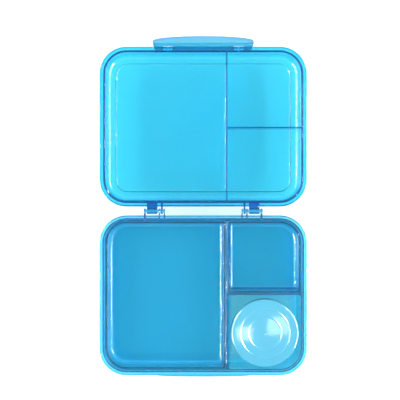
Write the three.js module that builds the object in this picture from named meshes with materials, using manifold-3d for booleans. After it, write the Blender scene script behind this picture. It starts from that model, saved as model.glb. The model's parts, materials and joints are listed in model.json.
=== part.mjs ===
// Lunch box: a hinged box held shut by one clip, with two lift-out trays and a screw-lid pot.
// Millimetres, +Z up. The origin is the centre of the underside of the base. The hinge is at the
// back (+Y), and the lid is modelled lying open, its rim level with the rim of the base.
import * as THREE from "three";
import { mergeVertices } from "three/addons/utils/BufferGeometryUtils.js";
import Module from "manifold-3d";

const wasm = await Module();
wasm.setup();

// ---------------------------------------------------------------- driving dimensions

const WIDTH = 214; // rim outline of base and lid, left to right
const DEPTH = 165; // rim outline of base and lid, front to back
const CORNER_RADIUS = 28;
const BASE_HEIGHT = 50;
const LID_HEIGHT = 24;
const WALL = 1.6;
const GAP = 0.3; // clearance between neighbouring pieces

const RIM_THICKNESS = 2;
const RIM_WIDTH = 3.2; // flat rim outside the wall of the base
const SKIRT_THICKNESS = 1.2; // turned-down outer edge of both rims
const SKIRT_DROP = 4.5; // from the top of the rim to the lower edge of its skirt

const LEDGE_WIDTH = 1.3; // inner step that carries the lips of the trays
const LEDGE_Z = BASE_HEIGHT - 4.5;
const BASE_SLOPE = 0.035; // inward lean of the walls, mm per mm of depth
const BASE_FLOOR_RADIUS = 6;
const DIVIDER = { thickness: 1.8, x: 24.3, y: 1.1, taper: 0.4, corner: 0.3 };

const LID_RIM_WIDTH = 4; // flat rim outside the wall of the lid
const LID_SLOPE = 0.08;
const LID_EDGE_RADIUS = 8;
const LIP = { inset: 5.1, thickness: 1.2, height: 2.6, root: 1.4 };
const PANEL = { inset: 15, height: 1.2, draft: 0.8 }; // raised middle panel of the lid
const RIB_THICKNESS = 1.2;

const HINGE = {
  gap: 4.5, // from either rim edge to the axis
  x: 50.3, // middle of each hinge, left and right
  pinRadius: 1.6,
  socketRadius: 1.85,
  armRadius: 2.6,
  hookRadius: 3.1,
  mouth: 2.6, // snap-in slot of the hooks, narrower than the pin
  gussetDrop: 10.5, // underside of an arm at its wall, below the axis
  waistDrop: 6, // and near the rim edge
  waistInset: 0.4,
};
// Each plate of a hinge: its lowest and highest x from the middle of that hinge.
const BASE_ARMS = [[-11, -9.6], [-5.9, -4.5], [8.8, 10.8]];
const LID_HOOKS = [[-8.7, -6.7], [-3.1, 7.7]];
const HINGE_PINS = [[-10.9, 10.7]];

const CLIP = {
  halfLength: 51.5,
  endDepth: 2.6, // how far the front stands out from the rim at the ends
  middleDepth: 6.6, // and in the middle
  wall: 1.8,
  pivotInset: 1.5, // pivot axis, inside the free edge of the lid rim
  pivotDrop: 4.7, // pivot axis, from the rim plane of the lid
  barrelRadius: 2.2,
  height: 20.7, // pivot axis to free edge
  rimGap: 0.4, // clearance of the front's inner edge to both rims
  capReach: 0.4, // inner edge of the end cap, inside the rim edge
  hookThickness: 1.5,
  hookBite: 0.7, // how far the hook reaches under the rim of the base
  restLean: 5.5, // degrees, swung out until the hook is free
  sideRoom: 1.5, // to the lid's skirt at either end
};
const CLIP_LUG = {
  x: 36.6,
  thickness: 2,
  radius: 1.9,
  pinRadius: 1.1,
  pinHalf: 7.6,
  rootDrop: 2.6, // how far a lug runs down the wall of the lid, below the pivot axis
  tipTurn: 20, // degrees past straight down, where its lower edge meets the round tip
};
const LUG_SLOT = { half: 5, reach: 4, depth: 1.2, pinGap: 0.25 };
const CATCH_BULGE = { half: 47, depth: 1.1, endDepth: 0.02 };

const TRAY = {
  lip: 1.6,
  lipThickness: 1.5,
  wall: 1.2,
  floorZ: 23,
  slope: 0.05,
  floorRadius: 4,
  squareCorner: 2,
};
const TRAY_SPLIT = 0.2; // from the middle of a divider to the lip of each tray on it
const NOTCH = { length: 34, depth: 1.1 }; // finger recess in the lip of the small tray

const POT = {
  x: 64,
  y: -39.5,
  floorZ: 2.1,
  floorRadius: 29.6,
  floorEdge: 2.4, // radius of the round edge between floor and wall
  bellyRadius: 33,
  neckRadius: 32.2,
  rimZ: 43.4,
  wall: 1.8,
};
const FLANGE = { radius: 34.4, z: 33.4, half: 0.5, flare: 0.8 }; // around the pot, under its lid
const POT_LID = { radius: 35.5, skirtGap: 0.8, skirtZ: 34.8, plate: 1.8, topZ: 47.3, edge: 2.4 };
const POT_RINGS = { radii: [17, 25.5], half: 1, height: 0.7, root: 0.4 };
const SEAL = { inner: 30.2, outer: 32.6, bottomZ: 43.7, topZ: 45.2 };

const ARC_STEPS = 4; // each rounded corner has twice as many chords
const SMALLEST_RADIUS = 0.8;
const FILLET_STEPS = 4;
const CURVE_STEPS = 12;
const TURN_STEPS = 48;
const DEG = Math.PI / 180;
const OVERLAP = 0.6; // how deep joined shapes run into each other
const PAST = 1; // how far a cutter runs past what it cuts

// ---------------------------------------------------------------- positions that follow

const AXIS_Y = DEPTH / 2 + HINGE.gap;
const AXIS_Z = BASE_HEIGHT + GAP / 2; // the closed lid stops one gap above the base
const LID_NEAR = AXIS_Y + HINGE.gap;
const LID_FAR = LID_NEAR + DEPTH;
const LID_BOTTOM = BASE_HEIGHT - LID_HEIGHT + PANEL.height;
const LIP_TOP = BASE_HEIGHT + LIP.height;
const PIVOT_Y = LID_FAR - CLIP.pivotInset;
const PIVOT_Z = BASE_HEIGHT - CLIP.pivotDrop;
const TRAY_TOP = LEDGE_Z + GAP + TRAY.lipThickness;
const TRAY_INSET = RIM_WIDTH + WALL + GAP; // lip of a tray, inside the rim outline

const BASE_RIM = rectangle(-WIDTH / 2, WIDTH / 2, -DEPTH / 2, DEPTH / 2);
const LID_RIM = rectangle(-WIDTH / 2, WIDTH / 2, LID_NEAR, LID_FAR);

// ---------------------------------------------------------------- outlines

function rectangle(left, right, front, back, radius = CORNER_RADIUS) {
  const radii = { frontLeft: radius, frontRight: radius, backRight: radius, backLeft: radius };
  return { left, right, front, back, radii };
}

// The same rectangle moved inwards, its corners staying concentric down to a smallest radius.
function inset(area, distance) {
  const radii = {};
  for (const corner of Object.keys(area.radii)) {
    radii[corner] = Math.max(area.radii[corner] - distance, SMALLEST_RADIUS);
  }
  return {
    left: area.left + distance,
    right: area.right - distance,
    front: area.front + distance,
    back: area.back - distance,
    radii,
  };
}

function outline({ left, right, front, back, radii }) {
  const { frontLeft, frontRight, backRight, backLeft } = radii;
  const quarter = Math.PI / 2;
  const shape = new THREE.Shape();
  shape.absarc(left + frontLeft, front + frontLeft, frontLeft, 2 * quarter, 3 * quarter);
  shape.absarc(right - frontRight, front + frontRight, frontRight, 3 * quarter, 4 * quarter);
  shape.absarc(right - backRight, back - backRight, backRight, 0, quarter);
  shape.absarc(left + backLeft, back - backLeft, backLeft, quarter, 2 * quarter);
  shape.closePath();
  return shape;
}

// ---------------------------------------------------------------- solids

// A closed geometry as a manifold-3d solid: shared vertices merged, collapsed triangles dropped.
function toSolid(geometry) {
  const bare = geometry.clone();
  bare.deleteAttribute("normal");
  bare.deleteAttribute("uv");
  const merged = mergeVertices(bare, 1e-4);
  const corners = merged.index.array;
  const kept = [];
  for (let i = 0; i < corners.length; i += 3) {
    const [a, b, c] = [corners[i], corners[i + 1], corners[i + 2]];
    if (a !== b && b !== c && c !== a) kept.push(a, b, c);
  }
  return new wasm.Manifold(
    new wasm.Mesh({
      numProp: 3,
      vertProperties: merged.attributes.position.array,
      triVerts: new Uint32Array(kept),
    }),
  );
}

function toGeometry(solid) {
  const mesh = solid.getMesh();
  const geometry = new THREE.BufferGeometry();
  geometry.setAttribute("position", new THREE.BufferAttribute(mesh.vertProperties, 3));
  geometry.setIndex(new THREE.BufferAttribute(mesh.triVerts, 1));
  geometry.computeVertexNormals();
  return geometry;
}

function join(...solids) {
  return solids.reduce((whole, next) => whole.add(next));
}

// A solid through a stack of level rounded rectangles, the lowest first.
function loft(levels) {
  const rings = levels.map(({ area, z }) => {
    const points = outline(area).getPoints(ARC_STEPS);
    if (points[0].distanceTo(points.at(-1)) < 1e-6) points.pop();
    return points.map((point) => new THREE.Vector3(point.x, point.y, z));
  });
  const count = rings[0].length;
  const last = (rings.length - 1) * count;
  const index = [];
  for (let i = 1; i < count - 1; i++) {
    index.push(0, i + 1, i);
    index.push(last, last + i, last + i + 1);
  }
  for (let level = 0; level < last; level += count) {
    for (let i = 0; i < count; i++) {
      const [a, b] = [level + i, level + ((i + 1) % count)];
      index.push(a, b, b + count, a, b + count, a + count);
    }
  }
  const geometry = new THREE.BufferGeometry().setFromPoints(rings.flat());
  geometry.setIndex(index);
  return toSolid(geometry);
}

// A flat plate with the given rounded rectangle as its outline.
function slab(area, bottom, top) {
  return loft([{ area, z: bottom }, { area, z: top }]);
}

// A band standing on the outline: everything between it and the same outline moved inwards.
function band(area, thickness, bottom, top) {
  return slab(area, bottom, top).subtract(
    slab(inset(area, thickness), bottom - PAST, top + PAST),
  );
}

// The body of a dish: walls that lean in by slope and run into the floor through a round edge.
function dish(area, bottom, top, slope, edgeRadius) {
  const levels = [];
  const leaned = slope * (top - bottom);
  for (let step = 0; step <= FILLET_STEPS; step++) {
    const turn = (step / FILLET_STEPS) * 90 * DEG;
    const z = bottom + edgeRadius * (1 - Math.cos(turn));
    const inwards = leaned + edgeRadius * (1 - Math.sin(turn)) - slope * (z - bottom);
    levels.push({ area: inset(area, inwards), z });
  }
  levels.push({ area, z: top });
  return loft(levels);
}

// A box between two corners.
function block([x0, y0, z0], [x1, y1, z1]) {
  const geometry = new THREE.BoxGeometry(x1 - x0, y1 - y0, z1 - z0);
  return toSolid(geometry.translate((x0 + x1) / 2, (y0 + y1) / 2, (z0 + z1) / 2));
}

// A round bar along X.
function bar(x0, x1, y, z, radius, sides = 16) {
  const geometry = new THREE.CylinderGeometry(radius, radius, x1 - x0, sides);
  return toSolid(geometry.rotateZ(-90 * DEG).translate((x0 + x1) / 2, y, z));
}

// A shape drawn in Y and Z, thickened from x0 to x1.
function upright(shape, x0, x1) {
  const geometry = new THREE.ExtrudeGeometry(shape, {
    depth: x1 - x0,
    bevelEnabled: false,
    curveSegments: CURVE_STEPS,
  });
  const [alongX, alongY, alongZ] = [
    new THREE.Vector3(1, 0, 0),
    new THREE.Vector3(0, 1, 0),
    new THREE.Vector3(0, 0, 1),
  ];
  geometry.applyMatrix4(new THREE.Matrix4().makeBasis(alongY, alongZ, alongX));
  return toSolid(geometry.translate(x0, 0, 0));
}

// A shape drawn in X and Y, thickened from z0 to z1.
function plate(shape, z0, z1) {
  const geometry = new THREE.ExtrudeGeometry(shape, {
    depth: z1 - z0,
    bevelEnabled: false,
    curveSegments: CURVE_STEPS,
  });
  return toSolid(geometry.translate(0, 0, z0));
}

// Points of a quarter circle about [x, y], from one angle in degrees to another.
function quarterArc([x, y], radius, from, to) {
  return [0, 1, 2, 3].map((step) => {
    const turn = (from + ((to - from) * step) / 3) * DEG;
    return [x + radius * Math.cos(turn), y + radius * Math.sin(turn)];
  });
}

// A profile of [radius, z] points turned about Z.
function turned(profile) {
  const points = profile.map(([radius, z]) => new THREE.Vector2(radius, z));
  return toSolid(new THREE.LatheGeometry(points, TURN_STEPS).rotateX(90 * DEG));
}

// The area in X and Y between two bows that end at x = -half and +half. Each bow is given as
// [y at both ends, y in the middle], and is nearly flat in the middle and rounder at the ends.
function crescent(half, [innerEnd, innerMiddle], [outerEnd, outerMiddle]) {
  const handle = 0.75 * half;
  const control = (end, middle) => end + (4 / 3) * (middle - end);
  const [inner, outer] = [control(innerEnd, innerMiddle), control(outerEnd, outerMiddle)];
  const shape = new THREE.Shape();
  shape.moveTo(-half, innerEnd);
  shape.bezierCurveTo(-handle, inner, handle, inner, half, innerEnd);
  shape.lineTo(half, outerEnd);
  shape.bezierCurveTo(handle, outer, -handle, outer, -half, outerEnd);
  shape.closePath();
  return shape;
}

// ---------------------------------------------------------------- hinge

// Side view of a hinge arm, drawn about the hinge axis: a round tip and a gusset that runs
// back to the wall of its own half of the box. side is -1 towards the base and +1 to the lid.
function armShape(side, tipRadius, wallReach) {
  const top = BASE_HEIGHT - AXIS_Z;
  const neck = Math.sqrt(tipRadius ** 2 - top ** 2);
  const shape = new THREE.Shape();
  shape.moveTo(side * wallReach, -HINGE.gussetDrop);
  shape.lineTo(side * wallReach, top);
  shape.lineTo(side * neck, top);
  const start = Math.atan2(top, side * neck);
  shape.absarc(0, 0, tipRadius, start, -90 * DEG, side < 0);
  shape.lineTo(side * (HINGE.gap - HINGE.waistInset), -HINGE.waistDrop);
  shape.closePath();
  return shape;
}

function alongEachHinge(plates, make) {
  const solids = [];
  for (const side of [-1, 1]) {
    for (const [low, high] of plates) {
      const [a, b] = [side * low, side * high].sort((one, two) => one - two);
      solids.push(make(side * HINGE.x + a, side * HINGE.x + b));
    }
  }
  return join(...solids);
}

function baseHinges() {
  const shape = armShape(-1, HINGE.armRadius, HINGE.gap + RIM_WIDTH + OVERLAP);
  const arms = alongEachHinge(BASE_ARMS, (x0, x1) => upright(shape, x0, x1));
  const pins = alongEachHinge(HINGE_PINS, (x0, x1) => bar(x0, x1, 0, 0, HINGE.pinRadius));
  return arms.add(pins).translate([0, AXIS_Y, AXIS_Z]);
}

function lidHinges() {
  const shape = armShape(1, HINGE.hookRadius, HINGE.gap + LID_RIM_WIDTH + OVERLAP);
  const half = HINGE.mouth / 2;
  const hook = (x0, x1) =>
    upright(shape, x0, x1)
      .subtract(bar(x0 - PAST, x1 + PAST, 0, 0, HINGE.socketRadius))
      .subtract(block([x0 - PAST, -half, -HINGE.gussetDrop], [x1 + PAST, half, 0]));
  return alongEachHinge(LID_HOOKS, hook).translate([0, AXIS_Y, AXIS_Z]);
}

// ---------------------------------------------------------------- base

function base() {
  const upperOuter = inset(BASE_RIM, RIM_WIDTH);
  const upperInner = inset(BASE_RIM, RIM_WIDTH + WALL);
  const lowerOuter = inset(BASE_RIM, RIM_WIDTH + LEDGE_WIDTH);
  const lowerInner = inset(BASE_RIM, RIM_WIDTH + LEDGE_WIDTH + WALL);
  const body = dish(lowerOuter, 0, LEDGE_Z, BASE_SLOPE, BASE_FLOOR_RADIUS);
  const cavity = dish(lowerInner, WALL, LEDGE_Z, BASE_SLOPE, BASE_FLOOR_RADIUS - WALL);
  const shell = join(
    body,
    slab(upperOuter, LEDGE_Z - WALL, BASE_HEIGHT),
    slab(BASE_RIM, BASE_HEIGHT - RIM_THICKNESS, BASE_HEIGHT),
    band(BASE_RIM, SKIRT_THICKNESS, BASE_HEIGHT - SKIRT_DROP, BASE_HEIGHT),
    catchBulge(),
    baseHinges(),
  );
  return shell
    .subtract(slab(upperInner, LEDGE_Z, BASE_HEIGHT + PAST))
    .subtract(cavity.add(slab(lowerInner, LEDGE_Z - OVERLAP, LEDGE_Z + OVERLAP)))
    .add(dividers().intersect(body));
}

// The front rim bows outwards where the hook of the clip catches under it.
function catchBulge() {
  const { half, depth, endDepth } = CATCH_BULGE;
  const shape = crescent(half, [-SKIRT_THICKNESS, -SKIRT_THICKNESS], [endDepth, depth]);
  const bulge = plate(shape, BASE_HEIGHT - SKIRT_DROP, BASE_HEIGHT);
  return bulge.rotate([0, 0, 180]).translate([0, -DEPTH / 2, 0]);
}

function dividers() {
  const { thickness, x, y, taper, corner } = DIVIDER;
  const wall = (...sides) => {
    const top = rectangle(...sides, corner);
    return loft([{ area: inset(top, -taper), z: WALL / 2 }, { area: top, z: LEDGE_Z }]);
  };
  const half = thickness / 2;
  return join(
    wall(x - half, x + half, -DEPTH / 2, DEPTH / 2),
    wall(x, WIDTH / 2, y - half, y + half),
  );
}

// ---------------------------------------------------------------- lid (lying open, inside up)

function lid() {
  const outer = inset(LID_RIM, LID_RIM_WIDTH);
  const inner = inset(LID_RIM, LID_RIM_WIDTH + WALL);
  const body = dish(outer, LID_BOTTOM, BASE_HEIGHT, LID_SLOPE, LID_EDGE_RADIUS);
  const innerEdge = LID_EDGE_RADIUS - WALL;
  const cavity = dish(inner, LID_BOTTOM + WALL, BASE_HEIGHT, LID_SLOPE, innerEdge);
  const mouth = slab(inner, BASE_HEIGHT - OVERLAP, BASE_HEIGHT + OVERLAP);
  const lip = band(inset(LID_RIM, LIP.inset), LIP.thickness, BASE_HEIGHT - LIP.root, LIP_TOP);
  const shell = join(
    body,
    panel(LID_BOTTOM),
    slab(LID_RIM, BASE_HEIGHT - RIM_THICKNESS, BASE_HEIGHT),
    lidSkirt(),
    lidHinges(),
    clipLugs(),
  );
  return shell
    .subtract(cavity.add(mouth))
    .add(lip)
    .subtract(panel(LID_BOTTOM + WALL))
    .add(lidRibs(body));
}

// The panel as a low truncated pyramid that hangs below a level, and runs a little above it.
function panel(level) {
  const area = inset(LID_RIM, PANEL.inset);
  return loft([
    { area: inset(area, PANEL.draft), z: level - PANEL.height },
    { area, z: level + OVERLAP },
  ]);
}

// The lid's skirt stops at both sides of the clip, which needs the room to swing.
function lidSkirt() {
  const skirt = band(LID_RIM, SKIRT_THICKNESS, BASE_HEIGHT - SKIRT_DROP, BASE_HEIGHT);
  const half = CLIP.halfLength + CLIP.sideRoom;
  const opening = block(
    [-half, LID_FAR - SKIRT_THICKNESS - PAST, BASE_HEIGHT - SKIRT_DROP - PAST],
    [half, LID_FAR + PAST, BASE_HEIGHT - RIM_THICKNESS],
  );
  return skirt.subtract(opening);
}

// Ribs over the dividers of the base, up to the same height as the nesting lip.
function lidRibs(body) {
  const half = RIB_THICKNESS / 2;
  const y = 2 * AXIS_Y - DIVIDER.y;
  const low = LID_BOTTOM - PANEL.height + WALL / 2;
  const long = block([DIVIDER.x - half, LID_NEAR, low], [DIVIDER.x + half, LID_FAR, LIP_TOP]);
  const short = block([DIVIDER.x, y - half, low], [WIDTH / 2, y + half, LIP_TOP]);
  const lipArea = inset(LID_RIM, LIP.inset + LIP.thickness / 2);
  const room = join(body, slab(lipArea, BASE_HEIGHT - OVERLAP, LIP_TOP), panel(LID_BOTTOM));
  return join(long, short).intersect(room);
}

// Two fins under the free edge of the lid, each with a pivot pin through it.
function clipLugs() {
  const { x, thickness, radius, pinRadius, pinHalf, rootDrop, tipTurn } = CLIP_LUG;
  const back = CLIP.pivotInset - LID_RIM_WIDTH - OVERLAP;
  const rimUnderside = CLIP.pivotDrop - RIM_THICKNESS;
  const fin = new THREE.Shape();
  fin.moveTo(back, rimUnderside + OVERLAP);
  fin.lineTo(back, -rootDrop);
  fin.absarc(0, 0, radius, (-90 - tipTurn) * DEG, 0);
  fin.lineTo(CLIP.pivotInset - GAP, rimUnderside + OVERLAP);
  fin.closePath();
  const lugs = [-1, 1].map((side) =>
    upright(fin, side * x - thickness / 2, side * x + thickness / 2).add(
      bar(side * x - pinHalf, side * x + pinHalf, 0, 0, pinRadius, 12),
    ),
  );
  return join(...lugs).translate([0, PIVOT_Y, PIVOT_Z]);
}

// ---------------------------------------------------------------- clip

// Drawn as it sits latched, about its pivot axis, with +Y outwards and +Z to the free edge.
function clip() {
  const { halfLength, endDepth, middleDepth, wall, barrelRadius, height } = CLIP;
  const { rimGap, capReach, hookBite, hookThickness } = CLIP;
  const rim = CLIP.pivotInset;
  // A piece between two bows that are measured outwards from the rim edge.
  const bowed = (half, inner, outer, low, high) =>
    plate(crescent(half, inner.map((y) => y + rim), outer.map((y) => y + rim)), low, high);
  const straight = (y) => [y, y];
  const moved = (bow, distance) => bow.map((y) => y + distance);

  const front = [endDepth, middleDepth];
  const rimEdge = [0, CATCH_BULGE.depth];
  const inside = moved(front, -wall);
  const hookLow = CLIP.pivotDrop + GAP + SKIRT_DROP + GAP;
  const [bottom, floorTop] = [-barrelRadius, wall - barrelRadius];
  const behind = straight(-rim - barrelRadius - PAST);
  const shell = bowed(halfLength, moved(rimEdge, rimGap), front, bottom, height);
  const hollow = bowed(halfLength - wall, behind, inside, floorTop, height - wall);
  return join(
    shell.subtract(hollow),
    bowed(halfLength, straight(-rim), front, bottom, floorTop),
    bowed(halfLength, straight(-capReach), front, height - wall, height),
    bowed(
      halfLength - wall / 2,
      moved(rimEdge, -hookBite),
      moved(inside, wall / 2),
      hookLow,
      hookLow + hookThickness,
    ),
    bar(-halfLength + wall, halfLength - wall, 0, 0, barrelRadius, 20),
  ).subtract(lugSlots());
}

function lugSlots() {
  const { x, pinRadius, pinHalf } = CLIP_LUG;
  const { half, reach, depth, pinGap } = LUG_SLOT;
  const boreHalf = pinHalf + GAP;
  const slots = [-1, 1].map((side) =>
    block([side * x - half, -reach, -reach], [side * x + half, CLIP.pivotInset + depth, reach]).add(
      bar(side * x - boreHalf, side * x + boreHalf, 0, 0, pinRadius + pinGap, 12),
    ),
  );
  return join(...slots);
}

// ---------------------------------------------------------------- trays

// area is the outline of the lip, which rests on the ledge and on the dividers.
function tray(area) {
  const outer = inset(area, TRAY.lip);
  const inner = inset(area, TRAY.lip + TRAY.wall);
  const body = dish(outer, TRAY.floorZ, TRAY_TOP, TRAY.slope, TRAY.floorRadius);
  const innerRadius = TRAY.floorRadius - TRAY.wall;
  const cavity = dish(inner, TRAY.floorZ + TRAY.wall, TRAY_TOP, TRAY.slope, innerRadius);
  const open = slab(inner, TRAY_TOP - OVERLAP, TRAY_TOP + OVERLAP);
  return body.add(slab(area, LEDGE_Z + GAP, TRAY_TOP)).subtract(cavity.add(open));
}

function largeTray() {
  const area = rectangle(
    -WIDTH / 2 + TRAY_INSET,
    DIVIDER.x - TRAY_SPLIT,
    -DEPTH / 2 + TRAY_INSET,
    DEPTH / 2 - TRAY_INSET,
    TRAY.squareCorner,
  );
  area.radii.frontLeft = CORNER_RADIUS - TRAY_INSET;
  area.radii.backLeft = CORNER_RADIUS - TRAY_INSET;
  return tray(area);
}

function smallTray() {
  const area = rectangle(
    DIVIDER.x + TRAY_SPLIT,
    WIDTH / 2 - TRAY_INSET,
    DIVIDER.y + TRAY_SPLIT,
    DEPTH / 2 - TRAY_INSET,
    TRAY.squareCorner,
  );
  area.radii.backRight = CORNER_RADIUS - TRAY_INSET;
  return tray(area).subtract(fingerRecess(area));
}

// The lip is cut back over a finger's width in the side that faces the long divider.
function fingerRecess(area) {
  const middle = (area.front + area.back) / 2;
  const half = NOTCH.length / 2;
  return block(
    [area.left - PAST, middle - half, LEDGE_Z],
    [area.left + NOTCH.depth, middle + half, TRAY_TOP + PAST],
  );
}

// ---------------------------------------------------------------- pot

function pot() {
  const { floorZ, floorRadius, floorEdge, bellyRadius, neckRadius, rimZ, wall } = POT;
  const [low, high] = [FLANGE.z - FLANGE.half, FLANGE.z + FLANGE.half];
  const floorCorner = (radius, z) =>
    quarterArc([radius - floorEdge, z + floorEdge], floorEdge, -90, 0);
  return turned([
    [0, floorZ],
    ...floorCorner(floorRadius, floorZ),
    [bellyRadius, low - FLANGE.flare],
    [FLANGE.radius, low],
    [FLANGE.radius, high],
    [neckRadius, high],
    [neckRadius, rimZ],
    [neckRadius - wall, rimZ],
    [neckRadius - wall, FLANGE.z],
    ...floorCorner(floorRadius - wall, floorZ + wall).reverse(),
    [0, floorZ + wall],
  ]);
}

function potLid() {
  const { radius, skirtGap, skirtZ, plate: thickness, topZ, edge } = POT_LID;
  const bore = POT.neckRadius + skirtGap;
  const shell = turned([
    [bore, skirtZ],
    [radius, skirtZ],
    ...quarterArc([radius - edge, topZ - edge], edge, 0, 90),
    [0, topZ],
    [0, topZ - thickness],
    [bore, topZ - thickness],
    [bore, skirtZ],
  ]);
  const { radii, half, height, root } = POT_RINGS;
  const rings = radii.map((middle) =>
    turned([
      [middle - half, topZ - root],
      [middle + half, topZ - root],
      [middle, topZ + height],
      [middle - half, topZ - root],
    ]),
  );
  return join(shell, ...rings);
}

function potSeal() {
  const { inner, outer, bottomZ, topZ } = SEAL;
  return turned([
    [inner, bottomZ],
    [outer, bottomZ],
    [outer, topZ],
    [inner, topZ],
    [inner, bottomZ],
  ]);
}

// ---------------------------------------------------------------- assembly

const FINISH = {
  base: { color: 0x4fb9dc, roughness: 0.2 },
  lid: { color: 0x41c8f2, roughness: 0.18 },
  clip: { color: 0x73d5f2, roughness: 0.3 },
  tray: { color: 0x55c4ea, roughness: 0.2 },
  pot: { color: 0x5cc6ea, roughness: 0.22 },
  potLid: { color: 0x66cff0, roughness: 0.25 },
  seal: { color: 0xe6eef2, roughness: 0.7 },
};

function piece(name, solid, finish) {
  const material = new THREE.MeshStandardMaterial({ ...finish, metalness: 0 });
  const mesh = new THREE.Mesh(toGeometry(solid), material);
  mesh.name = name;
  return mesh;
}

const potAssembly = new THREE.Group();
potAssembly.position.set(POT.x, POT.y, 0);
potAssembly.add(
  piece("pot", pot(), FINISH.pot),
  piece("pot_lid", potLid(), FINISH.potLid),
  piece("pot_seal", potSeal(), FINISH.seal),
);

const clipMesh = piece("clip", clip(), FINISH.clip);
clipMesh.position.set(0, PIVOT_Y, PIVOT_Z);
clipMesh.rotation.x = -CLIP.restLean * DEG;

const lunchBox = new THREE.Group();
lunchBox.add(
  piece("base", base(), FINISH.base),
  piece("lid", lid(), FINISH.lid),
  clipMesh,
  piece("large_tray", largeTray(), FINISH.tray),
  piece("small_tray", smallTray(), FINISH.tray),
  potAssembly,
);

export default lunchBox;
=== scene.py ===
"""Looks of the lunch box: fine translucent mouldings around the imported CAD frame.

Lengths are millimetres, turned into metres when a mesh is made. Materials and studio are in
metres. Insets are measured inwards from the outline that a profile is swept along.
"""

import json
import math

import bmesh
import bpy
from mathutils import Matrix, Vector


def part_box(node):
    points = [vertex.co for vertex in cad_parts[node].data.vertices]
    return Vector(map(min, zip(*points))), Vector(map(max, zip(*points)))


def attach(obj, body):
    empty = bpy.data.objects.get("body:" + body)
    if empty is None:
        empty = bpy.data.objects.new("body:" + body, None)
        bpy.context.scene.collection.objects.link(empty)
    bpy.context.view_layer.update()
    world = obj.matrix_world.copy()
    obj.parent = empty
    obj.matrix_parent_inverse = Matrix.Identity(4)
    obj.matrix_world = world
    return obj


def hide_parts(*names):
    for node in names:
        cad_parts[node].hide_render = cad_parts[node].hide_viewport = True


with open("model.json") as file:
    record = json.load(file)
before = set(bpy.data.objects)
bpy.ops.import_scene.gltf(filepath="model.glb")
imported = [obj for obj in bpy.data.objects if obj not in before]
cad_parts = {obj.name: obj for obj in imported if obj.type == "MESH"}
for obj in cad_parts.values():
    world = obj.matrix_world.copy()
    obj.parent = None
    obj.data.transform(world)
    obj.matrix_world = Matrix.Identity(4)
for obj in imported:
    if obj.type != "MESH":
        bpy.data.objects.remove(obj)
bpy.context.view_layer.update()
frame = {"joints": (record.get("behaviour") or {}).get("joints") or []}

MM = 0.001
DEG = math.pi / 180
QUARTER = math.pi / 2

# ------------------------------------------------------------------ places from the frame

JOINTS = {joint["name"]: joint for joint in frame["joints"]}


def joint_point(name):
    return [value / MM for value in JOINTS[name]["pos_m"]]


def box_mm(node):
    return [[value / MM for value in corner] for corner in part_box(node)]


AXIS_Y, AXIS_Z = joint_point("lid_hinge")[1:]
PIVOT_Y, PIVOT_Z = joint_point("clip_pivot")[1:]
POT_X, POT_Y = joint_point("pot_lid_turn")[:2]
LATCHED = -JOINTS["clip_pivot"]["range_deg"][0]  # degrees from latched to rest

HALF_WIDTH = box_mm("base")[1][0]
HINGE_GAP = 4.5  # rim edge to hinge axis, on either side
HALF_DEPTH = AXIS_Y - HINGE_GAP
LID_NEAR = AXIS_Y + HINGE_GAP
LID_FAR = LID_NEAR + 2 * HALF_DEPTH
RIM_Z = AXIS_Z - 0.15  # rim planes of the base and of the open lid
RIM_OUT = LID_FAR - PIVOT_Y  # from the clip's pivot out to the rim's edge
RIM_UP = RIM_Z - PIVOT_Z  # from the clip's pivot to the rim plane
LID_LOW = box_mm("lid")[0][2]
TRAY_LOW, TRAY_HIGH = box_mm("large_tray")[0][2], box_mm("large_tray")[1][2]

# ------------------------------------------------------------------ moulding dimensions

CORNER = 28
WALL = 1.6
CLEAR = 0.3
RIM, RIM_PLATE = 3.2, 2.0  # width and thickness of the base's rim
SKIRT, SKIRT_HEIGHT = 1.2, 4.5  # thickness and height of the rim's turned-down edge
LEDGE, LEDGE_DROP = 1.3, 4.5  # width and depth of the step inside the base's rim
RIM_UNDER = RIM_Z - RIM_PLATE
SKIRT_Z = RIM_Z - SKIRT_HEIGHT
LEDGE_Z = RIM_Z - LEDGE_DROP
FOOT = 0.4  # the middle of the base's floor stands this high inside its foot ring
DIVIDER_X, DIVIDER_Y, DIVIDER_HALF = 24.3, 1.1, 0.9
BAY_CORNER = 2.0
BULGE_HALF, BULGE = 47, 1.1

LID_RIM = 4.0
LIP_INSET, LIP_HEIGHT, LIP_WALL = 5.1, 2.6, 1.2
LIP_TOP = RIM_Z + LIP_HEIGHT
PANEL_INSET, PANEL_STEP = 15.0, 1.2
RIB_HALF = 0.6

HINGE_X = 50.3
PIN, ARM, HOOK, SOCKET = 1.6, 2.6, 3.1, 1.85  # radii
MOUTH = 2.6
ARM_BEVEL = 0.25
SUNK = 0.6  # how far an arm or a lug reaches into the wall that carries it
# Spans in x from the middle of the right hinge. The left hinge mirrors them.
BASE_ARMS = ((-11.0, -9.6), (-5.9, -4.5), (8.8, 10.8))
LID_HOOKS = ((-8.7, -6.7), (-3.1, 7.7))
PIN_SPAN = (-10.9, 10.7)

CLIP_HALF, CLIP_HEIGHT, CLIP_WALL = 51.5, 20.7, 1.8
LUG_X, LUG_HALF = 36.6, 1.0
PIVOT_PIN, PIVOT_BORE, BARREL = 1.1, 1.35, 2.2
PIVOT_REACH = 7.6  # how far a pivot pin reaches to either side of its lug's middle

# Insets where a profile starts or ends. A flat face closes each end of the swept solid there.
TOP_MIDDLE, MIDDLE, LID_MIDDLE, SHELL_MIDDLE = 14, 30, 50, 60

CORNER_STEPS, CORNER_HOLD = 16, 1.2
ARC_STEPS, ARC_HOLD = 6, 0.3
BOW_STEPS, ARM_STEPS, SPIN_STEPS = 28, 24, 128
SHARP = 34 * DEG
SEAM, WELD, SLIVER = 1e-7, 2e-6, 1e-6  # metres: what lies closer than this becomes one


# ------------------------------------------------------------------ outlines


def toward(angle):
    return Vector((math.cos(angle), math.sin(angle), 0))


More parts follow.
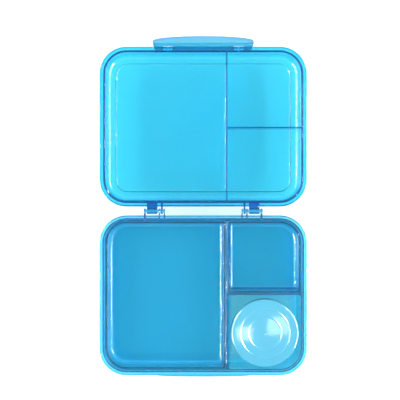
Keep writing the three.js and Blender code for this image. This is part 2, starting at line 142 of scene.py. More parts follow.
def circle(radius, sides):
    angles = [k * 2 * math.pi / sides for k in range(sides)]
    return [(radius * math.cos(angle), radius * math.sin(angle)) for angle in angles]


class Area:
    """A rounded rectangle. radii are front left, front right, back right, back left."""

    def __init__(self, left, right, front, back, radii):
        self.sides = (left, right, front, back)
        self.radii = radii if isinstance(radii, tuple) else (radii,) * 4

    def inset(self, distance, smallest=1.4):
        left, right, front, back = self.sides
        radii = tuple(max(radius - distance, min(radius, smallest)) for radius in self.radii)
        return Area(left + distance, right - distance, front + distance, back - distance, radii)

    def ring(self, z):
        """Its points at height z. A point just past each end of a corner keeps long walls flat."""
        left, right, front, back = self.sides
        corners = ((left, front, 1, 1), (right, front, -1, 1), (right, back, -1, -1), (left, back, 1, -1))
        points = []
        for turn, ((x, y, sx, sy), radius) in enumerate(zip(corners, self.radii)):
            centre = Vector((x + sx * radius, y + sy * radius, z))
            start = math.pi + turn * QUARTER
            along, onward = toward(start + QUARTER), toward(start + 2 * QUARTER)
            points.append(centre + radius * toward(start) - CORNER_HOLD * along)
            for step in range(CORNER_STEPS + 1):
                points.append(centre + radius * toward(start + QUARTER * step / CORNER_STEPS))
            points.append(centre + radius * along + CORNER_HOLD * onward)
        return points


BASE_RIM = Area(-HALF_WIDTH, HALF_WIDTH, -HALF_DEPTH, HALF_DEPTH, CORNER)
LID_OUTLINE = Area(-HALF_WIDTH, HALF_WIDTH, LID_NEAR, LID_FAR, CORNER)


def rounded(corners, long=3.0, share=0.48):
    """A profile of (inset, z, radius) corners, each corner rounded by its radius.

    An arc takes up no more than the given share of the straight beside it. Where more than the
    length long is left of a straight, one more point holds it flat.
    """
    points = [Vector(corners[0][:2])]
    for before, here, after in zip(corners, corners[1:], corners[2:]):
        corner = Vector(here[:2])
        back, ahead = Vector(before[:2]) - corner, Vector(after[:2]) - corner
        if not here[2]:
            points.append(corner)
            continue
        half = back.angle(ahead) / 2
        reach = min(here[2] / math.tan(half), share * back.length, share * ahead.length)
        radius = reach * math.tan(half)
        u, v = back.normalized(), ahead.normalized()
        centre = corner + (u + v).normalized() * (radius / math.sin(half))
        start, end = corner + u * reach - centre, corner + v * reach - centre
        sweep = math.atan2(start.x * end.y - start.y * end.x, start.dot(end))
        if back.length - reach > long:
            points.append(corner + u * (reach + ARC_HOLD))
        for step in range(ARC_STEPS + 1):
            turn = Matrix.Rotation(sweep * step / ARC_STEPS, 2)
            points.append(centre + turn @ start)
        if ahead.length - reach > long:
            points.append(corner + v * (reach + ARC_HOLD))
    points.append(Vector(corners[-1][:2]))
    return points


# ------------------------------------------------------------------ meshes


def new_object(name, mesh_builder):
    mesh = bpy.data.meshes.new(name)
    bmesh.ops.recalc_face_normals(mesh_builder, faces=mesh_builder.faces)
    mesh_builder.to_mesh(mesh)
    mesh_builder.free()
    piece = bpy.data.objects.new(name, mesh)
    bpy.context.scene.collection.objects.link(piece)
    return piece


def loft(name, rings):
    """A closed solid through rings that all have the same number of points."""
    builder = bmesh.new()
    loops = [[builder.verts.new(point * MM) for point in ring] for ring in rings]
    count = len(loops[0])
    for lower, upper in zip(loops, loops[1:]):
        for i in range(count):
            j = (i + 1) % count
            builder.faces.new((lower[i], lower[j], upper[j], upper[i]))
    builder.faces.new(loops[0])
    builder.faces.new(loops[-1])
    return new_object(name, builder)


def sweep(name, area, profile, smallest=1.4):
    """The profile carried round the area, closed across the middle at both its ends."""
    return loft(name, [area.inset(point[0], smallest).ring(point[1]) for point in profile])


def prism(name, outline, low, high, bevel=0.0, upright=False):
    """An outline thickened from low to high: along Z, or along X when upright.

    bevel eases the edges of both its ends and the sharp ones between them.
    """
    builder = bmesh.new()
    rings = []
    for w in (low, high):
        points = [(w, u, v) if upright else (u, v, w) for u, v in outline]
        rings.append([builder.verts.new(Vector(point) * MM) for point in points])
    count = len(outline)
    for i in range(count):
        j = (i + 1) % count
        builder.faces.new((rings[0][i], rings[0][j], rings[1][j], rings[1][i]))
    caps = [builder.faces.new(ring) for ring in rings]
    if bevel:
        least = 40 * DEG
        edges = {edge for cap in caps for edge in cap.edges}
        edges |= {edge for edge in builder.edges if edge.is_manifold and edge.calc_face_angle(0) > least}
        bmesh.ops.recalc_face_normals(builder, faces=builder.faces)
        bmesh.ops.bevel(
            builder, geom=list(edges), offset=bevel * MM, segments=3, profile=0.5,
            affect="EDGES", clamp_overlap=True,
        )
    return new_object(name, builder)


def bar(name, low, high, radius, sides=48):
    """A round bar on the X axis."""
    return prism(name, circle(radius, sides), low, high, upright=True)


def block(name, low, high, bevel=0.0):
    outline = [(low[0], low[1]), (high[0], low[1]), (high[0], high[1]), (low[0], high[1])]
    return prism(name, outline, low[2], high[2], bevel)


def spin(name, profile):
    """A profile of (radius, z) points turned about Z.

    It starts and ends on the axis, or else it ends where it starts.
    """
    builder = bmesh.new()
    loops = []
    for radius, z in profile:
        around = circle(radius, SPIN_STEPS) if radius else [(0, 0)]
        loops.append([builder.verts.new(Vector((x, y, z)) * MM) for x, y in around])
    for one, two in zip(loops, loops[1:]):
        for i in range(SPIN_STEPS):
            j = (i + 1) % SPIN_STEPS
            corners = [one[i % len(one)], one[j % len(one)], two[j % len(two)], two[i % len(two)]]
            unique = list(dict.fromkeys(corners))
            if len(unique) > 2:
                builder.faces.new(unique)
    bmesh.ops.remove_doubles(builder, verts=builder.verts, dist=SEAM)
    return new_object(name, builder)


def settle(piece):
    """Turns what the piece's modifiers make into its own mesh."""
    graph = bpy.context.evaluated_depsgraph_get()
    result = bpy.data.meshes.new_from_object(piece.evaluated_get(graph))
    piece.modifiers.clear()
    piece.data = result


def combine(piece, operation, *others):
    """Joins, cuts or intersects piece with the others, which are used up."""
    for other in others:
        modifier = piece.modifiers.new("combine", "BOOLEAN")
        modifier.operation = operation
        modifier.solver = "MANIFOLD"
        modifier.object = other
        settle(piece)
        bpy.data.objects.remove(other)
    return piece


def moved(piece, x, y, z):
    piece.data.transform(Matrix.Translation(Vector((x, y, z)) * MM))
    return piece


def shade(piece):
    """Smooth shading that breaks at sharp edges and keeps large faces flat."""
    builder = bmesh.new()
    builder.from_mesh(piece.data)
    bmesh.ops.remove_doubles(builder, verts=builder.verts, dist=WELD)
    bmesh.ops.dissolve_degenerate(builder, edges=builder.edges, dist=SLIVER)
    for face in builder.faces:
        face.smooth = True
    for edge in builder.edges:
        edge.smooth = len(edge.link_faces) == 2 and edge.calc_face_angle(0) < SHARP
    builder.to_mesh(piece.data)
    builder.free()
    flatten = piece.modifiers.new("flatten", "WEIGHTED_NORMAL")
    flatten.keep_sharp = True
    settle(piece)
    return piece


def bow(half, end, middle):
    """Points of a bow from x = -half to half, nearly flat in the middle, rounder at its ends.

    It is a Bezier curve whose two handles stand high enough for it to pass through the middle.
    """
    handle, control = 0.75 * half, end + (4 / 3) * (middle - end)
    places = ((-half, end), (-handle, control), (handle, control), (half, end))
    anchors = [Vector(place) for place in places]
    points = []
    for step in range(BOW_STEPS + 1):
        t = step / BOW_STEPS
        weights = ((1 - t) ** 3, 3 * t * (1 - t) ** 2, 3 * t * t * (1 - t), t**3)
        point = sum((w * a for w, a in zip(weights, anchors)), Vector((0, 0)))
        points.append((point.x, point.y))
    return points


def crescent(half, inner, outer, corner=0.0):
    """The outline between an inner and an outer bow, each given as (end, middle).

    corner rounds the two ends of the outer bow, which leaves out its points next to them.
    """
    ends = half - 2.2 * corner
    outer_bow = [(x, y, 0) for x, y in reversed(bow(half, *outer)) if abs(x) < ends]
    inner_bow = [(x, y, 0) for x, y in bow(half, *inner)]
    tips = [(side * half, outer[0], corner) for side in (1, -1)]
    outline = [*inner_bow, tips[0], *outer_bow, tips[1], inner_bow[0]]
    return [tuple(point) for point in rounded(outline, long=half, share=0.9)[:-1]]


# ------------------------------------------------------------------ hinges


def arm_outline(side, tip, reach):
    """Side view of a hinge arm about the hinge axis. side is -1 towards the base, +1 to the lid.

    From the wall its flat top runs to the round tip, which turns over the axis to its underside.
    """
    top = RIM_Z - 0.02 - AXIS_Z  # just below the rim's own face, so the two join cleanly
    root, heel = (reach, -10.5), (HINGE_GAP - 0.4, -6.0)
    start = math.asin(top / tip)
    turn = 3 * QUARTER - start
    points = [root, (reach, top)]
    for step in range(ARM_STEPS + 1):
        angle = start + turn * step / ARM_STEPS
        points.append((tip * math.cos(angle), tip * math.sin(angle)))
    points.append(heel)
    return [(side * y, z) for y, z in points]


def each_span(spans):
    """Yields the lowest and highest x of every plate of the left and the right hinge."""
    for side in (-1, 1):
        for low, high in spans:
            first, second = sorted((side * low, side * high))
            yield side * HINGE_X + first, side * HINGE_X + second


def base_hinge_parts():
    outline = arm_outline(-1, ARM, HINGE_GAP + RIM + SUNK)
    arms = [prism("arm", outline, a, b, ARM_BEVEL, upright=True) for a, b in each_span(BASE_ARMS)]
    pins = [bar("pin", a, b, PIN) for a, b in each_span((PIN_SPAN,))]
    return [moved(part, 0, AXIS_Y, AXIS_Z) for part in arms + pins]


def lid_hinge_parts():
    outline = arm_outline(1, HOOK, HINGE_GAP + LID_RIM + SUNK)
    hooks = []
    for low, high in each_span(LID_HOOKS):
        hook = prism("hook", outline, low, high, ARM_BEVEL, upright=True)
        socket = bar("socket", low - 1, high + 1, SOCKET)
        mouth = block("mouth", (low - 1, -MOUTH / 2, -9), (high + 1, MOUTH / 2, 0))
        hooks.append(moved(combine(hook, "DIFFERENCE", socket, mouth), 0, AXIS_Y, AXIS_Z))
    return hooks


# ------------------------------------------------------------------ base


def bay(name, area):
    """The hollow of one bay: round floor edge, leaning walls, eased upper edges."""
    profile = rounded([(MIDDLE, WALL, 0), (1.55, WALL, 4.6), (0.02, LEDGE_Z - 0.6, 0)])
    profile += [
        (-0.12, LEDGE_Z - 0.25),
        (-0.4, LEDGE_Z + 0.06),
        (-0.4, LEDGE_Z + 0.5),
        (MIDDLE, LEDGE_Z + 0.5),
    ]
    return sweep(name, area, profile, BAY_CORNER)


def base_bays():
    inset = RIM + LEDGE + WALL
    big, small = CORNER - inset, BAY_CORNER
    left, right = -HALF_WIDTH + inset, HALF_WIDTH - inset
    front, back = -HALF_DEPTH + inset, HALF_DEPTH - inset
    left_end, right_start = DIVIDER_X - DIVIDER_HALF, DIVIDER_X + DIVIDER_HALF
    pot_end, back_start = DIVIDER_Y - DIVIDER_HALF, DIVIDER_Y + DIVIDER_HALF
    return [
        bay("left_bay", Area(left, left_end, front, back, (big, small, small, big))),
        bay("back_bay", Area(right_start, right, back_start, back, (small, small, big, small))),
        bay("pot_bay", Area(right_start, right, front, pot_end, (small, big, small, small))),
    ]


def make_base():
    outer = RIM + LEDGE
    body = sweep("base_shell", BASE_RIM, rounded([
        (SHELL_MIDDLE, FOOT, 0),
        (outer + 11, FOOT, 0.3),
        (outer + 10.4, 0, 0.3),
        (outer + 1.6, 0, 6),
        (outer + 0.07, LEDGE_Z - 2.2, 1.2),
        (RIM, LEDGE_Z - 0.8, 0.8),
        (RIM, RIM_UNDER, 0.5),
        (SKIRT, RIM_UNDER, 0.4),
        (SKIRT, SKIRT_Z, 0.35),
        (0, SKIRT_Z, 0.4),
        (0, RIM_Z, 1.1),
        (TOP_MIDDLE, RIM_Z, 0),
    ]))
    bow_points = crescent(BULGE_HALF, (-SKIRT, -SKIRT), (0.02, BULGE))
    bulge = prism("bulge", [(x, -y - HALF_DEPTH) for x, y in bow_points], SKIRT_Z + 0.02, RIM_Z - 0.02, 0.35)
    combine(body, "UNION", bulge, *base_hinge_parts())
    inner = RIM + WALL
    mouth = sweep("mouth", BASE_RIM, [
        (MIDDLE, LEDGE_Z),
        (inner + 0.2, LEDGE_Z),
        (inner, LEDGE_Z + 0.2),
        (inner, RIM_Z - 0.6),
        (inner - 0.14, RIM_Z - 0.25),
        (inner - 0.5, RIM_Z + 0.05),
        (inner - 0.6, RIM_Z + 0.6),
        (MIDDLE, RIM_Z + 0.6),
    ])
    return shade(combine(body, "DIFFERENCE", mouth, *base_bays()))


# ------------------------------------------------------------------ lid


def lid_hollow():
    skin = LID_LOW + PANEL_STEP + WALL
    wall = LID_RIM + WALL
    lip = LIP_INSET + LIP_WALL
    profile = rounded([
        (LID_MIDDLE, LID_LOW + WALL, 0),
        (PANEL_INSET + 1.5, LID_LOW + WALL, 0.7),
        (PANEL_INSET + 0.7, skin, 0.7),
        (wall + 1.7, skin, 6.4),
        (wall + 0.05, RIM_Z - 1.6, 0.3),
        (lip, RIM_Z - 0.8, 0.3),
        (lip, LIP_TOP - 0.35, 0),
    ])
    profile += [
        (lip - 0.12, LIP_TOP - 0.1),
        (lip - 0.4, LIP_TOP + 0.1),
        (lip - 0.5, LIP_TOP + 1),
        (LID_MIDDLE, LIP_TOP + 1),
    ]
    return sweep("lid_hollow", LID_OUTLINE, profile)


def rib_gap(name, left, right, front, back):
    """The space between ribs: its sides flare a little at the floor and at the rib tops."""
    floor = LID_LOW + WALL
    profile = [
        (0.8, floor - 2),
        (0.8, floor),
        (0.55, floor + 0.12),
        (0.3, floor + 0.3),
        (0.1, floor + 0.6),
        (0, floor + 1),
        (0, LIP_TOP - 0.35),
        (-0.1, LIP_TOP - 0.12),
        (-0.3, LIP_TOP + 0.08),
        (-0.35, LIP_TOP + 2),
    ]
    return sweep(name, Area(left, right, front, back, 1.2), profile, 1.0)


def lid_spaces():
    past = 6
    left, right = -HALF_WIDTH - past, HALF_WIDTH + past
    near, far = LID_NEAR - past, LID_FAR + past
    rib_y = 2 * AXIS_Y - DIVIDER_Y
    gaps = [
        rib_gap("left_space", left, DIVIDER_X - RIB_HALF, near, far),
        rib_gap("near_space", DIVIDER_X + RIB_HALF, right, near, rib_y - RIB_HALF),
        rib_gap("far_space", DIVIDER_X + RIB_HALF, right, rib_y + RIB_HALF, far),
    ]
    return [combine(gap, "INTERSECT", lid_hollow()) for gap in gaps]


def clip_lugs():
    """Two fins below the free edge of the lid, each with a pin through it."""
    radius = 1.9
    back, root = RIM_OUT - LID_RIM - SUNK, RIM_UP - RIM_PLATE + SUNK
    tip = [(radius * math.cos(a * DEG), radius * math.sin(a * DEG)) for a in range(-110, 1, 10)]
    outline = [(back, root), (back, -2.6), *tip, (1.2, root)]
    parts = []
    for x in (-LUG_X, LUG_X):
        parts.append(prism("fin", outline, x - LUG_HALF, x + LUG_HALF, 0.2, upright=True))
        parts.append(bar("pivot_pin", x - PIVOT_REACH, x + PIVOT_REACH, PIVOT_PIN, 32))
    return [moved(part, 0, PIVOT_Y, PIVOT_Z) for part in parts]


def make_lid():
    skin = LID_LOW + PANEL_STEP
    body = sweep("lid_shell", LID_OUTLINE, rounded([
        (SHELL_MIDDLE, LID_LOW, 0),
        (PANEL_INSET + 0.8, LID_LOW, 0.7),
        (PANEL_INSET, skin, 0.7),
        (LID_RIM + 1.8, skin, 8),
        (LID_RIM, RIM_UNDER, 0.5),
        (SKIRT, RIM_UNDER, 0.4),
        (SKIRT, SKIRT_Z, 0.35),
        (0, SKIRT_Z, 0.4),
        (0, RIM_Z, 1.1),
        (LIP_INSET, RIM_Z, 0.3),
        (LIP_INSET, LIP_TOP, 0.35),
        (MIDDLE, LIP_TOP, 0),
    ]))
    # The rim's turned-down edge is left out where the clip hangs.
    half, near, low = CLIP_HALF + 1.5, LID_FAR - 2.2, 30
    opening = block("clip_opening", (-half, near, low), (half, LID_FAR + 3, RIM_UNDER))
    combine(body, "DIFFERENCE", opening)
    combine(body, "UNION", *lid_hinge_parts(), *clip_lugs())
    return shade(combine(body, "DIFFERENCE", *lid_spaces()))


# ------------------------------------------------------------------ clip


def bowed(name, half, inner, outer, low, high, bevel=0.0, corner=0.0):
    """A plate between two bows. Each bow's (end, middle) is measured from the rim's edge."""
    bows = [(end + RIM_OUT, middle + RIM_OUT) for end, middle in (inner, outer)]
    return prism(name, crescent(half, *bows, corner), low, high, bevel)


def clip_front(inset):
    """The bow of the clip's front face, moved inwards."""
    return 2.6 - inset, 6.6 - inset


def clip_plates():
    """The plates that close the hollow clip at its pivot and at its tip, and its hook rib."""
    top = CLIP_HEIGHT - CLIP_WALL
    floor = bowed(
        "floor", CLIP_HALF - 0.8, (-RIM_OUT, -RIM_OUT), clip_front(0.8),
        0.02 - BARREL, CLIP_WALL - BARREL, corner=1.4,
    )
    cap = bowed(
        "cap", CLIP_HALF - 0.1, (-0.4, -0.4), clip_front(0.1),
        top, CLIP_HEIGHT - 0.02, bevel=0.7, corner=2.1,
    )
    hook_low = RIM_UP + SKIRT_HEIGHT + 2 * CLEAR
    hook = bowed(
        "hook", CLIP_HALF - CLIP_WALL / 2, (-0.7, BULGE - 0.7), clip_front(CLIP_WALL - 0.8),
        hook_low, hook_low + 1.5, bevel=0.25,
    )
    return floor, cap, hook


def grip_ridges():
    half, half_height = 20, 0.7
    face = clip_front(0)[1] + RIM_OUT
    outline = crescent(half, (face - 1.6, face - 1.2), (face - 0.75, face + 0.4), 0.6)
    levels = (9.0, 11.7, 14.4)
    return [prism("ridge", outline, z - half_height, z + half_height, 0.3) for z in levels]


def pivot_cuts():
    """A slot for each lug of the lid, and a bore on both sides of it for the lug's pin."""
    slot_half, bore_half = 5, PIVOT_REACH + CLEAR
    cuts = []
    for x in (-LUG_X, LUG_X):
        cuts.append(block("slot", (x - slot_half, -4, -4), (x + slot_half, 2.7, 4)))
        cuts.append(bar("bore", x - bore_half, x + bore_half, PIVOT_BORE, 32))
    return cuts


def make_clip():
    """Built upright about its pivot as in the closed box, then leant back to its rest."""
    shell = bowed(
        "clip_shell", CLIP_HALF, (0.4, BULGE + 0.4), clip_front(0),
        -BARREL, CLIP_HEIGHT, bevel=0.8, corner=2.8,
    )
    hollow = bowed(
        "hollow", CLIP_HALF - CLIP_WALL, (-9, -9), clip_front(CLIP_WALL),
        CLIP_WALL - BARREL, CLIP_HEIGHT - CLIP_WALL,
    )
    combine(shell, "DIFFERENCE", hollow)
    barrel = bar("barrel", CLIP_WALL - CLIP_HALF, CLIP_HALF - CLIP_WALL, BARREL)
    combine(shell, "UNION", *clip_plates(), barrel, *grip_ridges())
    combine(shell, "DIFFERENCE", *pivot_cuts())
    shell.data.transform(Matrix.Rotation(-LATCHED * DEG, 4, "X"))
    return shade(moved(shell, 0, PIVOT_Y, PIVOT_Z))


# ------------------------------------------------------------------ trays


def tray_solid(name, area):
    lip, wall, slope = 1.6, 1.2, 0.05
    depth = TRAY_HIGH - TRAY_LOW
    lip_under = TRAY_HIGH - 1.5
    return sweep(name, area, rounded([
        (MIDDLE, TRAY_LOW, 0),
        (lip + slope * depth, TRAY_LOW, 4.4),
        (lip + 0.05, lip_under, 0.3),
        (0.2, lip_under, 0.3),
        (0, TRAY_HIGH, 0.6),
        (lip + wall, TRAY_HIGH, 0.5),
        (lip + wall + slope * (depth - wall), TRAY_LOW + wall, 3.2),
        (MIDDLE, TRAY_LOW + wall, 0),
    ]), 2.2)


def make_large_tray():
    (left, front, _), (right, back, _) = box_mm("large_tray")
    big, small = CORNER - (left + HALF_WIDTH), BAY_CORNER
    area = Area(left, right, front, back, (big, small, small, big))
    return shade(tray_solid("large_tray_shell", area))


def make_small_tray():
    (left, front, _), (right, back, _) = box_mm("small_tray")
    big, small = CORNER - (HALF_WIDTH - right), BAY_CORNER
    area = Area(left, right, front, back, (small, small, big, small))
    centre, half, deep = (front + back) / 2, 17, 1.1
    near, far = (left - 3, centre - half, LEDGE_Z - 3), (left + deep, centre + half, TRAY_HIGH + 3)
    recess = block("recess", near, far, 0.4)
    return shade(combine(tray_solid("small_tray_shell", area), "DIFFERENCE", recess))


# ------------------------------------------------------------------ pot


def at_pot(piece):
    return moved(piece, POT_X, POT_Y, 0)


def thread(name, radius, low, pitch, turns, width, height):
    """A round-topped screw thread that fades out at both ends.

    Its root lies inside the neck, and in the faded ends all of it does.
    """
    steps = int(turns * 72)
    sides, root = 7, 0.6
    builder = bmesh.new()
    rings = []
    for step in range(steps + 1):
        along = step / steps
        fade = min(1, 8 * along, 8 * (1 - along))
        angle = 2 * math.pi * turns * along
        middle = low + pitch * turns * along
        section = []
        for k in range(sides):
            turn = math.pi * k / (sides - 1)
            out = -root + (root + 0.02 + height * fade) * math.sin(turn)
            section.append((radius + out, middle - width / 2 * math.cos(turn)))
        rings.append([
            builder.verts.new(Vector((r * math.cos(angle), r * math.sin(angle), z)) * MM)
            for r, z in section
        ])
    for one, two in zip(rings, rings[1:]):
        for i in range(sides):
            j = (i + 1) % sides
            builder.faces.new((one[i], one[j], two[j], two[i]))
    builder.faces.new(rings[0])
    builder.faces.new(rings[-1])
    return new_object(name, builder)


def make_pot():
    low, high = box_mm("pot")[0][2], box_mm("pot")[1][2]
    neck, flange, wall, shoulder = 32.2, 34.3, 1.8, 33.4
    body = spin("pot_shell", rounded([
        (0, low + 0.5, 0),
        (22, low + 0.5, 0.4),
        (23, low, 0.4),
        (29.0, low, 3.5),
        (33.0, shoulder - 1.4, 0.8),
        (flange, shoulder - 0.4, 0.3),
        (flange, shoulder + 0.6, 0.3),
        (neck, shoulder + 0.8, 0.4),
        (neck, high, 0.7),
        (neck - wall, high, 0.7),
        (neck - wall, shoulder, 1.0),
        (28.0, low + wall, 3.0),
        (0, low + wall, 0),
    ]))
    screw = thread("thread", neck, shoulder + 3.2, pitch=3.0, turns=1.4, width=1.7, height=0.42)
    return at_pot(shade(combine(body, "UNION", screw)))


def make_pot_lid():
    top, radius, plate = 47.3, 35.5, 1.8
    bottom, bore = 34.8, 33.0
    ring_half, ring_height = 0.8, 0.45
    rings = []
    for ring in (17.0, 25.5):
        rings += [
            (ring - ring_half, top, 0.4),
            (ring, top + ring_height, 0.4),
            (ring + ring_half, top, 0.4),
        ]
    body = spin("pot_lid_shell", rounded([
        (0, top - 0.25, 0),
        (1.0, top - 0.25, 0.1),
        (1.3, top, 0.15),
        *rings,
        (radius - 0.2, top, 2.6),
        (radius, bottom + 2.2, 0.3),
        (radius - 0.35, bottom + 1.9, 0.2),
        (radius - 0.35, bottom, 0.5),
        (bore, bottom, 0.5),
        (bore, top - plate, 0.4),
        (0, top - plate, 0),
    ]))
    return at_pot(shade(body))


def make_pot_seal():
    (_, _, low), (_, _, high) = box_mm("pot_seal")
    inner, outer = 30.2, 32.6
    seam = (inner + 0.6, low, 0)
    corners = ((outer, low, 0.5), (outer, high, 0.5), (inner, high, 0.5), (inner, low, 0.5))
    return at_pot(shade(spin("pot_seal_ring", rounded([seam, *corners, seam]))))


# ------------------------------------------------------------------ materials

UNEVEN = 0.06  # how far the pigment strays from its mean
TAKEN = (750, 140, 20)  # absorption per metre of red, green and blue
TAKEN_LITTLE = (450, 75, 14)


def fill(socket_owner, **values):
    for name, value in values.items():
        socket_owner.inputs[name.replace("_", " ")].default_value = value


def noise(tree, place, **values):
    """How strong a noise texture is at the given place."""
    texture = tree.nodes.new("ShaderNodeTexNoise")
    fill(texture, **values)
    tree.links.new(place, texture.inputs["Vector"])
    return texture.outputs["Fac"]


def mixed(tree, factor, low, high):
    """A colour between two others."""
    mix = tree.nodes.new("ShaderNodeMix")
    mix.data_type = "RGBA"
    mix.inputs["A"].default_value = (*low, 1)
    mix.inputs["B"].default_value = (*high, 1)
    tree.links.new(factor, mix.inputs["Factor"])
    return mix.outputs["Result"]


def ranged(tree, value, **limits):
    """A value carried over from one range to another."""
    spread = tree.nodes.new("ShaderNodeMapRange")
    fill(spread, **limits)
    tree.links.new(value, spread.inputs["Value"])
    return spread.outputs["Result"]


def bumped(tree, height, **values):
    bump = tree.nodes.new("ShaderNodeBump")
    fill(bump, **values)
    tree.links.new(height, bump.inputs["Height"])
    return bump


def plastic(name, colour, absorbed, milk, haze, coat=0.0):
    """Moulded polypropylene: a glossy skin over a tinted body that is a little hazy.

    colour is what its surface lets through, absorbed is what a metre of it takes off besides.
    milk is the share of light that the surface scatters back, haze is the least roughness and
    coat is the weight of a second, clear skin.
    """
    material = bpy.data.materials.new(name)
    material.use_nodes = True
    tree = material.node_tree
    tree.nodes.clear()
    out = tree.nodes.new("ShaderNodeOutputMaterial")
    shader = tree.nodes.new("ShaderNodeBsdfPrincipled")
    fill(shader, Transmission_Weight=1 - milk, IOR=1.49)
    fill(shader, Coat_Weight=coat, Coat_Roughness=0.03, Coat_IOR=1.49)
    tree.links.new(shader.outputs["BSDF"], out.inputs["Surface"])

    place = tree.nodes.new("ShaderNodeTexCoord").outputs["Object"]
    stretch = tree.nodes.new("ShaderNodeMapping")
    fill(stretch, Rotation=(0.2, 0.4, 0.7), Scale=(1, 14, 6))
    tree.links.new(place, stretch.inputs["Vector"])
    cloud = noise(tree, place, Scale=26.0, Detail=3.0, Roughness=0.5)
    scuff = noise(tree, stretch.outputs["Vector"], Scale=150.0, Detail=5.0, Roughness=0.7)
    grain = noise(tree, place, Scale=900.0, Detail=2.0, Roughness=0.6)

    rough = ranged(tree, scuff, From_Min=0.35, From_Max=0.75, To_Min=haze, To_Max=haze + 0.07)
    tree.links.new(rough, shader.inputs["Roughness"])

    # The pigment is a little uneven, paler in some places and deeper in others.
    paler = [value ** (1 - UNEVEN) for value in colour]
    deeper = [value ** (1 + UNEVEN) for value in colour]
    tree.links.new(mixed(tree, cloud, paler, deeper), shader.inputs["Base Color"])

    flow = bumped(tree, cloud, Strength=0.04, Distance=0.0005)
    skin = bumped(tree, grain, Strength=0.08, Distance=0.00003)
    tree.links.new(flow.outputs["Normal"], skin.inputs["Normal"])
    tree.links.new(skin.outputs["Normal"], shader.inputs["Normal"])

    volume = tree.nodes.new("ShaderNodeVolumeAbsorption")
    most = max(absorbed)
    fill(volume, Color=(*[1 - value / most for value in absorbed], 1), Density=most)
    tree.links.new(volume.outputs["Volume"], out.inputs["Volume"])
    return material


def silicone(name):
    material = bpy.data.materials.new(name)
    material.use_nodes = True
    tree = material.node_tree
    shader = tree.nodes["Principled BSDF"]
    fill(shader, Subsurface_Weight=0.6, Subsurface_Radius=(0.004, 0.004, 0.004), Subsurface_Scale=1.0)
    place = tree.nodes.new("ShaderNodeTexCoord").outputs["Object"]
    dust = noise(tree, place, Scale=400.0, Detail=4.0, Roughness=0.6)
    colour = mixed(tree, dust, (0.80, 0.86, 0.89), (0.88, 0.92, 0.94))
    tree.links.new(colour, shader.inputs["Base Color"])
    tree.links.new(ranged(tree, dust, To_Min=0.45, To_Max=0.65), shader.inputs["Roughness"])
    return material


PALE_CYAN = (0.36, 0.88, 0.93)
CYAN = (0.165, 0.76, 0.83)
CLIP_CYAN = (0.21, 0.75, 0.88)
TRAY_CYAN = (0.20, 0.78, 0.94)
DEEP_CYAN = (0.10, 0.53, 0.73)

FINISHES = {
    "base_plastic": plastic("base_plastic", PALE_CYAN, TAKEN, milk=0.10, haze=0.07),
    "lid_plastic": plastic("lid_plastic", CYAN, TAKEN, milk=0.05, haze=0.06),
    "clip_plastic": plastic("clip_plastic", CLIP_CYAN, TAKEN_LITTLE, milk=0.32, haze=0.10, coat=0.6),
    "tray_plastic": plastic("tray_plastic", TRAY_CYAN, TAKEN_LITTLE, milk=0.06, haze=0.06),
    "pot_plastic": plastic("pot_plastic", TRAY_CYAN, TAKEN_LITTLE, milk=0.20, haze=0.08),
    "pot_lid_plastic": plastic("pot_lid_plastic", DEEP_CYAN, TAKEN, milk=0.75, haze=0.15, coat=0.5),
    "seal_silicone": silicone("seal_silicone"),
}


def dress(piece, cad_node, slot):
    """Gives the piece its finish, and puts it in the place of its CAD node on the same body."""
    piece.data.materials.clear()
    piece.data.materials.append(FINISHES[slot])
    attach(piece, cad_node)
    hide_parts(cad_node)


dress(make_base(), "base", "base_plastic")
dress(make_lid(), "lid", "lid_plastic")
dress(make_clip(), "clip", "clip_plastic")
dress(make_large_tray(), "large_tray", "tray_plastic")
dress(make_small_tray(), "small_tray", "tray_plastic")
dress(make_pot(), "pot", "pot_plastic")
dress(make_pot_lid(), "pot_lid", "pot_lid_plastic")
dress(make_pot_seal(), "pot_seal", "seal_silicone")


# ------------------------------------------------------------------ studio


def make_floor():
    """A white table that glows a little, so the see-through mouldings keep their colour."""
    builder = bmesh.new()
    half, drop = 3.0, 0.0003
    corners = ((-half, -half), (half, -half), (half, half), (-half, half))
    builder.faces.new([builder.verts.new((x, y, -drop)) for x, y in corners])
    floor = new_object("floor", builder)
    material = bpy.data.materials.new("floor_white")
    material.use_nodes = True
    shader = material.node_tree.nodes["Principled BSDF"]
    fill(shader, Base_Color=(0.7, 0.7, 0.7, 1), Roughness=0.9, Specular_IOR_Level=0.1)
    fill(shader, Emission_Color=(1, 1, 1, 1), Emission_Strength=0.6)
    floor.data.materials.append(material)


def soft_box(name, place, target, across, upright, power, fills=True):
    """A rectangular lamp. One that does not fill the scene leaves matt surfaces unlit."""
    light = bpy.data.lights.new(name, "AREA")
    light.shape = "RECTANGLE"
    light.size = across
    light.size_y = upright
    light.energy = power
    lamp = bpy.data.objects.new(name, light)
    lamp.location = place
    lamp.rotation_euler = (Vector(target) - Vector(place)).to_track_quat("-Z", "Y").to_euler()
    if not fills:
        lamp.visible_diffuse = False
        light.cycles.max_bounces = 3
    bpy.context.scene.collection.objects.link(lamp)


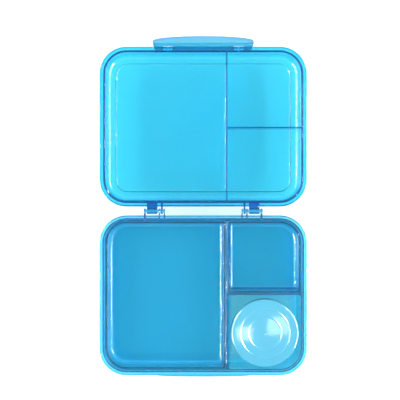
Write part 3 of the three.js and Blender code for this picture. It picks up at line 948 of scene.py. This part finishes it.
def window(name, x, y, across, upright, power):
    """A small lamp overhead, mirrored as one bright patch by the pot's lid."""
    height = 1.6
    soft_box(name, (x, y, height), (x, y, 0), across, upright, power, fills=False)


def make_camera():
    """Straight above, its view as wide at the rim plane as the photograph's frame."""
    x, y, height, view_width = -0.0033, 0.0983, 1.15, 0.412
    camera = bpy.data.cameras.new("camera")
    camera.lens = camera.sensor_width * height / view_width
    holder = bpy.data.objects.new("camera", camera)
    holder.location = (x, y, RIM_Z * MM + height)
    bpy.context.scene.collection.objects.link(holder)
    bpy.context.scene.camera = holder


# Brightness of the room by the sine of the height above the horizon. Straight overhead it is
# dark, so that level surfaces keep their own colour.
ROOM = ((0.0, 0.9), (0.3, 0.9), (0.6, 1.0), (0.85, 1.5), (0.94, 1.6), (0.972, 0.15))


def make_world():
    world = bpy.data.worlds.new("studio")
    world.use_nodes = True
    tree = world.node_tree
    place = tree.nodes.new("ShaderNodeTexCoord")
    split = tree.nodes.new("ShaderNodeSeparateXYZ")
    ramp = tree.nodes.new("ShaderNodeValToRGB")
    stops = ramp.color_ramp.elements
    while len(stops) < len(ROOM):
        stops.new(0.5)
    for stop, (sine, brightness) in zip(stops, ROOM):
        stop.position = sine
        stop.color = (brightness, brightness, brightness, 1)
    tree.links.new(place.outputs["Generated"], split.inputs["Vector"])
    tree.links.new(split.outputs["Z"], ramp.inputs["Fac"])
    background = tree.nodes["Background"]
    background.inputs["Strength"].default_value = 1.0
    tree.links.new(ramp.outputs["Color"], background.inputs["Color"])
    bpy.context.scene.world = world


make_floor()
make_camera()
make_world()
lunch_box = (0, 0.09, 0.03)
sides = (("left", -1), ("right", 1))
for side, way in sides:
    soft_box(side + "_box", (way * 0.85, 0.1, 0.7), lunch_box, across=1.1, upright=0.12, power=5)
for side, way in sides:
    place = (way * 0.8, 0.1, 0.55)
    soft_box(side + "_strip", place, lunch_box, across=1.2, upright=0.09, power=52, fills=False)
window("near_window", 0.104, -0.2255, across=0.04, upright=0.033, power=0.08)
window("far_window", 0.185, -0.2065, across=0.05, upright=0.043, power=0.11)
bpy.context.scene.view_settings.view_transform = "Standard"
